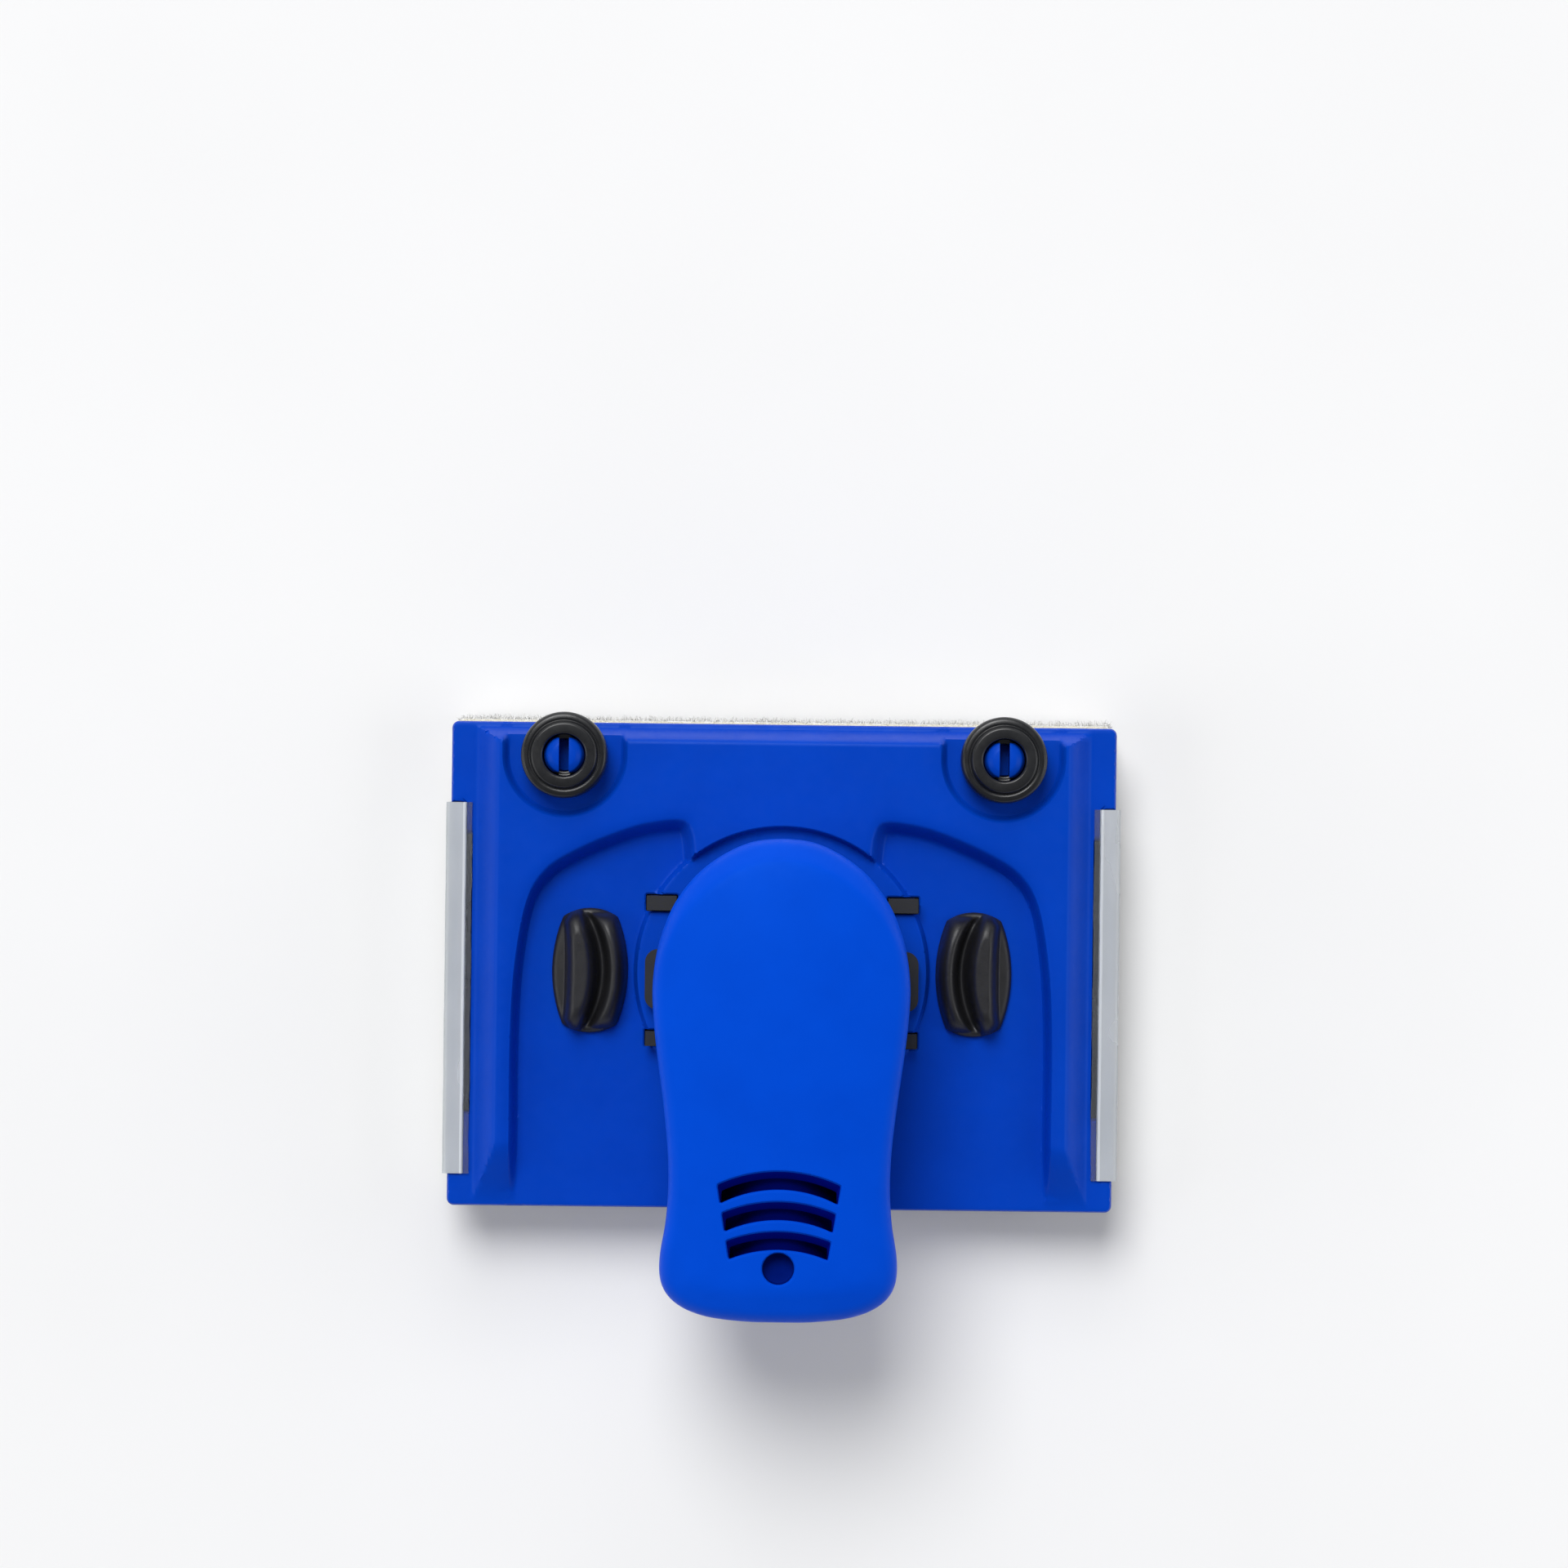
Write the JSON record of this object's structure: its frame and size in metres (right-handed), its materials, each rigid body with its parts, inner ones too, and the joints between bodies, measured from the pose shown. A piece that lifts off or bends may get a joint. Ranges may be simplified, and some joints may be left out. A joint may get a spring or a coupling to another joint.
{
  "type": "paint pad edger",
  "caption": "Hand tool that paints straight edges: a flocked pad under a shield plate with guide wheels and a swivelling palm handle that takes a threaded pole.",
  "frame": {"origin": "centre of the pad's painting face, midway along the shield plate", "axes": "+X along the pad's width, +Y towards the guided edge where the wheels are, +Z away from the painted wall towards the hand"},
  "size_m": [0.129, 0.1128, 0.0515],
  "materials": {
    "blue_plastic": "satin moulded plastic",
    "black_plastic": "moulded plastic",
    "wheel_plastic": "smooth hard plastic",
    "black_rubber": "soft-touch rubber",
    "clear_film": "translucent flexible plastic",
    "bearing_plastic": "low-friction plastic",
    "white_plastic": "moulded plastic",
    "foam": "open-cell foam",
    "flock": "short flocked pile",
    "plated_steel": "zinc plated"
  },
  "bodies": {
    "shield": {"shield_plate": "blue_plastic", "pad_carrier": "black_plastic", "swivel_base": "black_plastic", "base_screws": "plated_steel", "bearing_washer": "bearing_plastic", "finger_rest_left": "black_rubber", "finger_rest_right": "black_rubber", "side_guard_left": "clear_film", "side_guard_right": "clear_film"},
    "wheel_left": {"guide_wheel_left": "wheel_plastic"},
    "wheel_right": {"guide_wheel_right": "wheel_plastic"},
    "pad": {"pad_backing": "white_plastic", "pad_foam": "foam", "pad_flock": "flock"},
    "handle": {"handle_top_shell": "blue_plastic", "handle_bottom_shell": "blue_plastic", "pole_socket": "blue_plastic", "shell_screws": "plated_steel", "wave_washer": "plated_steel", "retaining_washer": "plated_steel", "swivel_screw": "plated_steel"}
  },
  "joints": [
    {"name": "wheel_left_spin", "type": "hinge", "parent": "shield", "child": "wheel_left", "pos_m": [-0.0417, 0.04, 0.02], "axis": [0, 0, 1], "continuous": true},
    {"name": "wheel_right_spin", "type": "hinge", "parent": "shield", "child": "wheel_right", "pos_m": [0.0417, 0.04, 0.02], "axis": [0, 0, 1], "continuous": true},
    {"name": "pad_slide", "type": "slide", "parent": "shield", "child": "pad", "axis": [0, -1, 0], "range_m": [0, 0.095]},
    {"name": "handle_swivel", "type": "hinge", "parent": "shield", "child": "handle", "pos_m": [0, -0.001, 0.025], "axis": [0, 0, 1], "range_deg": [-90, 90]}
  ]
}
